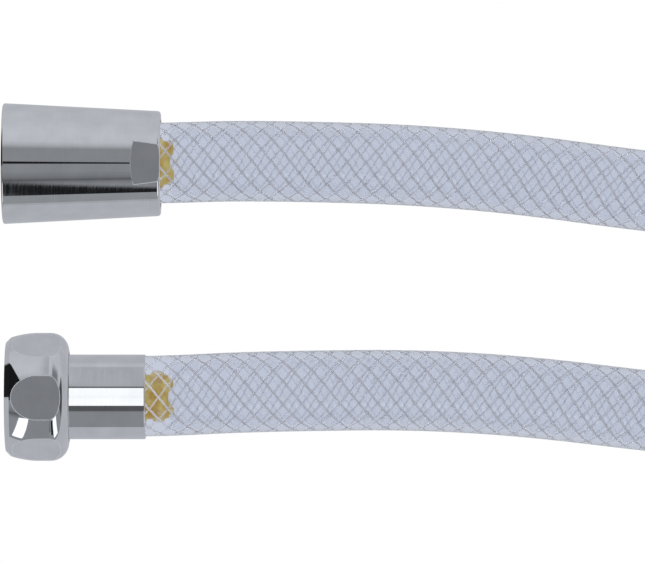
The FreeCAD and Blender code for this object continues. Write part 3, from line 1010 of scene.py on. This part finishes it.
def fineGrainGroup():
    # even specks and slow clouds, for all finishes but the yarns'
    group, given, result = newGroup("fineGrain", ("Place", "Specks", "Clouds"),
                                    ("Grain", "Cloud"))
    for size, name in (("Specks", "Grain"), ("Clouds", "Cloud")):
        noise = group.nodes.new("ShaderNodeTexNoise")
        noise.inputs["Detail"].default_value = patterns["grainDetail"]
        fill(group, noise.inputs["Vector"], given["Place"])
        fill(group, noise.inputs["Scale"], given[size])
        fill(group, result[name], noise.outputs[0])
    return group


def useGroup(tree, group, first, second):
    # its place, then its two counts per metre
    node = tree.nodes.new("ShaderNodeGroup")
    node.node_tree = group
    for socket, value in zip(node.inputs, (objectPlace(tree), first, second)):
        fill(tree, socket, value)
    return node.outputs


def shades(tree, finish, mask):
    return mixColours(tree, mask, *finish["colours"])


def coat(tree, shader, finish, colour, roughMask, relief=None):
    # the three sockets that change over a surface
    fill(tree, shader.inputs["Base Color"], colour)
    low, high = finish.get("roughMask", patterns["grainRange"])
    fill(tree, shader.inputs["Roughness"], mapRange(tree, roughMask, low, high, *finish["rough"]))
    if relief:
        bump = tree.nodes.new("ShaderNodeBump")
        bump.inputs["Distance"].default_value = finish["relief"]
        fill(tree, bump.inputs["Height"], relief)
        fill(tree, shader.inputs["Normal"], bump.outputs["Normal"])


def turnedMaterial(name, marks, grain):
    # turned metal: clouds of colour with some of the marks in them, and smears along the marks
    material, tree, shader, finish = newMaterial(name)
    turned = useGroup(tree, marks, *finish["marks"])
    clouded = useGroup(tree, grain, *finish["grain"])
    lines = multiply(tree, turned["Smear"], finish["lines"])
    mask = mapRange(tree, calculate(tree, "ADD", clouded["Cloud"], lines), *finish["colourMask"])
    coat(tree, shader, finish, shades(tree, finish, mask), turned["Smear"], turned["Height"])
    return material


def cloudedMaterial(name, grain, makeRelief=None, masks=("Cloud", "Grain")):
    # the masks are what the colour follows and what the roughness follows
    material, tree, shader, finish = newMaterial(name)
    clouded = useGroup(tree, grain, *finish["grain"])
    colourMask, roughMask = [clouded[mask] for mask in masks]
    relief = makeRelief(tree, clouded) if makeRelief else None
    coat(tree, shader, finish, shades(tree, finish, colourMask), roughMask, relief)
    return material


def specks(tree, clouded):
    return clouded["Grain"]


def betweenYarns(tree, clouded):
    # waves that rise over each yarn, in both hands, from the wall's own UV map
    uv = splitAxes(tree, uvPlace(tree))
    waves = []
    for hand in ("ADD", "SUBTRACT"):
        turned = multiply(tree, calculate(tree, hand, uv["X"], uv["Y"]),
                          2 * math.pi * yarn["count"])
        waves.append(calculate(tree, "COSINE", turned))
    return calculate(tree, "ADD", *waves)


def yarnMaterial(name):
    # fine twisted filaments: slanted lines across the yarn's width
    material, tree, shader, finish = newMaterial(name)
    uv = splitAxes(tree, uvPlace(tree))
    turns = calculate(tree, "DIVIDE", uv["Y"], yarn["twistPitch"])
    twisted = calculate(tree, "ADD", turns, uv["X"])
    wave = calculate(tree, "SINE", multiply(tree, twisted, 2 * math.pi * yarn["filaments"]))
    coat(tree, shader, finish, shades(tree, finish, mapRange(tree, wave, -1, 1)), wave, wave)
    return material


def strapMaterial(grain):
    # plain weave: ribs along and across that take turns on top, under some fuzz
    material, tree, shader, finish = newMaterial("strapFabric")
    uv = splitAxes(tree, uvPlace(tree))
    waves = [calculate(tree, "SINE", multiply(tree, uv[axis], 2 * math.pi / spacing))
             for axis, spacing in zip("XY", strap["weave"])]
    weave = mapRange(tree, multiply(tree, *waves), -1, 1)
    clouded = useGroup(tree, grain, *finish["grain"])
    fuzz = multiply(tree, clouded["Grain"], finish["fuzz"])
    colour = mixColours(tree, fuzz, shades(tree, finish, weave), finish["fuzzColour"])
    coat(tree, shader, finish, colour, clouded["Grain"], calculate(tree, "ADD", weave, fuzz))
    return material


# Studio: a white floor, and soft panels whose edges show as bands in the chrome.
# Angles are in degrees from straight up towards the picture's top. Sides run along the
# hose, from -1 at the mouths' end to 1. A slant moves a panel's angles with its sides.

studio = {
    "floorSize": 8,
    "floorDrop": 0.0002,
    "seen": (1.0, 1.0, 1.0),
    "floorGlow": (0.575, 0.61, 0.71),
    "floorMirror": (0.485, 0.50, 0.535),
    "farMirror": {"from": 0.03, "to": 0.07, "colour": (0.545, 0.56, 0.59)},
    "around": (0.54, 0.56, 0.60),
    "onMatt": (1.35, 1.37, 1.43),
    "card": {"right": -0.045, "near": -0.0248, "far": -0.0069, "slant": -0.78,
             "edge": 0.004, "level": 0.012},
    "tint": (0.97, 1, 1.06),
    "bands": [(-180, 0.48), (-98, 0.47), (-96, 0.275), (-43, 0.275), (-35, 0.16), (-33.5, 0.10),
              (-31, 0.17), (-26, 0.22), (-16, 0.277), (29, 0.277), (31, 0.34), (36, 0.47),
              (44, 0.585), (60, 0.61), (88, 0.57), (180, 0.50)],
    "panels": {
        "coneEdge": {"angles": (-100, -84), "sides": (-0.005, 0.30), "level": 0.44},
        "coneLower": {"angles": (-85, -66), "sides": (-0.005, 0.30), "level": 0.31},
        "coneDark": {"angles": (-66, 12.8), "sides": (0.038, 0.14), "level": 0.012,
                     "soft": (0.4, 6), "slant": -1000},
        "coneLine": {"angles": (-1.3, 8.4), "sides": (-0.01, 0.085), "level": 0.01,
                     "soft": (0.3, 0.3), "slant": -90},
        "flatGrey": {"angles": (-3, 4), "sides": (-0.06, -0.012), "level": 0.235},
        "ferruleDark": {"angles": (-38, -23), "sides": (-0.08, -0.01), "level": 0.10},
        "ferruleTop": {"angles": (24, 29), "sides": (-0.08, -0.01), "level": 0.12},
        "ferruleHigh": {"angles": (29, 110), "sides": (-0.037, -0.012), "level": 0.46,
                        "blur": 0.001},
        "mouthDark": {"angles": (-6, 49), "sides": (-1.1, -0.284), "level": 0.01,
                      "slant": -55, "lean": -0.19},
        "whiteLeft": {"angles": (-84, -40), "sides": (-0.345, -0.175), "level": 1.4,
                      "lean": 0.08},
        "rearDark": {"angles": (-74, -44), "sides": (0.17, 0.33), "level": 0.01},
        "tailDark": {"angles": (-180, 180), "sides": (0.93, 1.1), "level": 0.07, "blur": 0.03},
        "rearGrey": {"angles": (-6, 60), "sides": (0.30, 0.80), "level": 0.22, "blur": 0.1,
                     "soft": (4, 14)},
        "whiteRight": {"angles": (-84, -40), "sides": (0.37, 0.66), "level": 1.3},
    },
    "sideEdge": 0.006,
    "angleEdges": (0.5, 0.5),
    "panelBounces": 1.5,  # seen after one bounce or pass, and no more after two
}

# soft lamps straight above: one that only the ferrule catches, one for the yarns by the brass
lamps = {
    "ferruleLight": {"place": (-0.009, -0.0177, 0.312), "size": (0.10, 0.265), "level": 0.92,
                     "spread": 180},
    "yarnLight": {"place": (0.003, 0, 0.045), "size": (0.026, 0.075), "level": 0.48,
                  "spread": 8},
}


def tinted(level):
    # a studio light's level as its slightly cool colour
    return tuple(level * share for share in studio["tint"])


def putOut(tree, source, target, colour):
    # the light's own shader, straight to its output
    light = tree.nodes.new(source)
    fill(tree, light.inputs["Color"], colour)
    fill(tree, tree.nodes.new(target).inputs["Surface"], light.outputs[0])


def makeFloor():
    floor = newPiece("studioFloor", bpy.ops.mesh.primitive_plane_add, size=studio["floorSize"],
                     location=(0, 0, -studio["floorDrop"]))
    material = bpy.data.materials.new("studioFloorPaint")
    material.use_nodes = True
    floor.data.materials.append(material)
    tree = material.node_tree
    tree.nodes.clear()
    place, card, far = splitAxes(tree, objectPlace(tree)), studio["card"], studio["farMirror"]
    x, y = place["X"], place["Y"]
    # a black card lies left of the fittings, where only the plating shows it
    fromRight = calculate(tree, "SUBTRACT", x, card["right"])
    slanted = calculate(tree, "SUBTRACT", y, multiply(tree, fromRight, card["slant"]))
    onCard = multiply(
        tree, mapRange(tree, x, card["right"] - card["edge"], card["right"], 1.0, 0.0),
        mapRange(tree, y, card["near"] - card["edge"], card["near"]),
        mapRange(tree, slanted, card["far"], card["far"] + card["edge"], 1.0, 0.0))
    farShare = mapRange(tree, y, far["from"], far["to"])
    plain = mixColours(tree, farShare, studio["floorMirror"], far["colour"])
    mirrored = mixColours(tree, onCard, plain, tinted(card["level"]))
    rays = tree.nodes.new("ShaderNodeLightPath").outputs
    throughHose = calculate(tree, "MINIMUM", rays["Transmission Depth"], 1)
    through = mixColours(tree, throughHose, mirrored, studio["floorGlow"])
    lit = mixColours(tree, rays["Diffuse Depth"], through, studio["onMatt"])
    seen = mixColours(tree, rays["Is Camera Ray"], lit, studio["seen"])
    putOut(tree, "ShaderNodeEmission", "ShaderNodeOutputMaterial", seen)


def bandLight(tree, angle):
    # the soft light from every side, before the panels; a ramp begins with two stops
    ramp = tree.nodes.new("ShaderNodeValToRGB")
    fill(tree, ramp.inputs[0], mapRange(tree, angle, -180, 180))
    stops = ramp.color_ramp.elements
    for number, (degrees, level) in enumerate(studio["bands"]):
        place = (degrees + 180) / 360
        stop = stops[number] if number < 2 else stops.new(place)
        stop.position = place
        stop.color = (*tinted(level), 1)
    return ramp.outputs["Color"]


def softStep(tree, value, place, edge, *ends):
    return mapRange(tree, value, place - edge, place + edge, *ends, kind="SMOOTHSTEP")


def onPanel(tree, panel, side, radians, angle):
    # 1 on the panel, 0 off it. Only its upper edge is slanted, so its lower edge stays level.
    lowEdge, highEdge = panel.get("soft", studio["angleEdges"])
    edge = panel.get("blur", studio["sideEdge"])
    slanted = calculate(tree, "SUBTRACT", angle, multiply(tree, side, panel.get("slant", 0)))
    leaning = calculate(tree, "SUBTRACT", side, multiply(tree, radians, panel.get("lean", 0)))
    return multiply(
        tree, softStep(tree, angle, panel["angles"][0], lowEdge),
        softStep(tree, slanted, panel["angles"][1], highEdge, 1.0, 0.0),
        softStep(tree, leaning, panel["sides"][0], edge),
        softStep(tree, leaning, panel["sides"][1], edge, 1.0, 0.0))


def makeWorld():
    world = bpy.data.worlds.new("softStudio")
    bpy.context.scene.world = world
    world.use_nodes = True
    tree = world.node_tree
    tree.nodes.clear()
    way = splitAxes(tree, tree.nodes.new("ShaderNodeTexCoord").outputs["Generated"])
    radians = calculate(tree, "ARCTAN2", way["Y"], way["Z"])
    angle = multiply(tree, radians, 180 / math.pi)
    reflected = bandLight(tree, angle)
    for panel in studio["panels"].values():
        reflected = mixColours(tree, onPanel(tree, panel, way["X"], radians, angle), reflected,
                               tinted(panel["level"]))
    # a reflection within a reflection sees the plain soft light
    rays = tree.nodes.new("ShaderNodeLightPath").outputs
    bounces = calculate(tree, "ADD", rays["Glossy Depth"], rays["Transmission Depth"])
    firstBounce = calculate(tree, "LESS_THAN", bounces, studio["panelBounces"])
    inChrome = multiply(tree, rays["Is Glossy Ray"], firstBounce)
    matt = mixColours(tree, rays["Diffuse Depth"], studio["around"], studio["onMatt"])
    lit = mixColours(tree, inChrome, matt, reflected)
    seen = mixColours(tree, rays["Is Camera Ray"], lit, studio["seen"])
    putOut(tree, "ShaderNodeBackground", "ShaderNodeOutputWorld", seen)


def gather(name, pieces):
    collection = bpy.data.collections.new(name)
    for piece in pieces:
        collection.objects.link(piece)
    return collection


def makeLamp(name, shown, blockers):
    lit = lamps[name]
    lamp = newPiece(name, bpy.ops.object.light_add, type="AREA", location=lit["place"])
    lamp.data.shape = "RECTANGLE"
    lamp.data.size, lamp.data.size_y = lit["size"]
    lamp.data.spread = math.radians(lit["spread"])
    lamp.data.energy = lit["level"] * math.pi * math.prod(lit["size"])
    lamp.visible_camera = False
    lamp.light_linking.receiver_collection = gather(name + "Shows", shown)
    lamp.light_linking.blocker_collection = gather(name + "Blockers", blockers)


def dress(piece, material, slot, body, *nodes):
    # gives a finished piece its material and its body, and hides the CAD nodes that it stands
    # for.
    # Mirrored rays pass it by, so the plating shows the studio and none of the pieces.
    piece.data.materials.clear()
    piece.data.materials.append(material)
    piece.visible_glossy = False
    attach(piece, body)
    if nodes:
        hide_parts(*nodes)


def addFinish(piece, material, faces):
    # one more finish, on some of the piece's faces
    piece.data.materials.append(material)
    for face in faces:
        face.material_index = len(piece.data.materials) - 1


makeCamera()
marks, grain = turningMarksGroup(), fineGrainGroup()
chrome = turnedMaterial("chromePlating", marks, grain)
brass = turnedMaterial("insertBrass", marks, grain)
paintedRimHighlight = cloudedMaterial("chromeRimHighlight", grain)
paintedInsideShade = cloudedMaterial("nutInside", grain)
rubber = cloudedMaterial("washerRubber", grain, specks)
cover = cloudedMaterial("hoseCover", grain, betweenYarns)
boreSkin = cloudedMaterial("hoseBore", grain)
# the outer yarns' darker colours are painted shade
outerFibre, innerFibre = yarnMaterial("outerYarn"), yarnMaterial("innerYarn")
webbing = strapMaterial(grain)
sewing = cloudedMaterial("strapThread", grain, specks, ("Grain", "Cloud"))
print("materials made")

wall, wallPath = makeHoseWall()
dress(wall, cover, "hose_cover", "hose",
      "cone_run_cover", "cone_run_liner", "hex_run_cover", "hex_run_liner", "hose_hank")
addFinish(wall, boreSkin, openBore(wall))
rightYarns, leftYarns = makeYarns("rightYarns", 1, "outer"), makeYarns("leftYarns", -1, "inner")
dress(rightYarns, outerFibre, "hose_yarn", "hose")
dress(leftYarns, innerFibre, "hose_yarn", "hose")
print("hose made")

coneToHex = [there - here for here, there in zip(insert["coneSeat"], insert["hexSeat"])]
hexToCone = [-step for step in coneToHex]
coneNut, sixSided = makeConicalNut(), makeHexNut()
dress(coneNut, chrome, "chrome_plating", "conical_nut", "conical_nut")
dress(sixSided, chrome, "chrome_plating", "hex_nut", "hex_nut")
for nut, size in ((coneNut, conicalNut), (sixSided, hexNut)):
    # painted shade inside each nut, on its bore and thread
    addFinish(nut, paintedInsideShade, insideFaces(nut, size))
    # painted highlight along the rims of the milled faces
    addFinish(nut, paintedRimHighlight, rimFaces(nut, size))
print("nuts made")

coneInsert = makeInsert("coneEndInsert")
hexInsert = copyPiece(coneInsert, "hexEndInsert", coneToHex)
dress(coneInsert, brass, "insert_brass", "hose", "cone_end_insert")
dress(hexInsert, brass, "insert_brass", "hose", "hex_end_insert")
hexFerrule = makeFerrule("hexEndFerrule")
coneSleeve = copyPiece(hexFerrule, "coneEndSleeve", hexToCone)
dress(hexFerrule, chrome, "chrome_plating", "hose", "hex_end_ferrule")
dress(coneSleeve, chrome, "chrome_plating", "hose", "cone_end_sleeve")
coneWasher = makeWasher("coneEndWasher")
hexWasher = copyPiece(coneWasher, "hexEndWasher", coneToHex)
dress(coneWasher, rubber, "washer_rubber", "cone_washer", "cone_end_washer")
dress(hexWasher, rubber, "washer_rubber", "hex_washer", "hex_end_washer")
print("inserts, sleeves and washers made")

dress(makeStrap(), webbing, "strap_fabric", "hose", "hose_tie")
dress(makeStitches(), sewing, "strap_fabric", "hose")
print("strap made")

makeFloor()
makeWorld()
fittings = [coneNut, sixSided, hexFerrule]
makeLamp("ferruleLight", [hexFerrule], fittings)
makeLamp("yarnLight", [rightYarns, leftYarns], fittings)
bpy.context.scene.view_settings.view_transform = "Standard"
print("studio made")
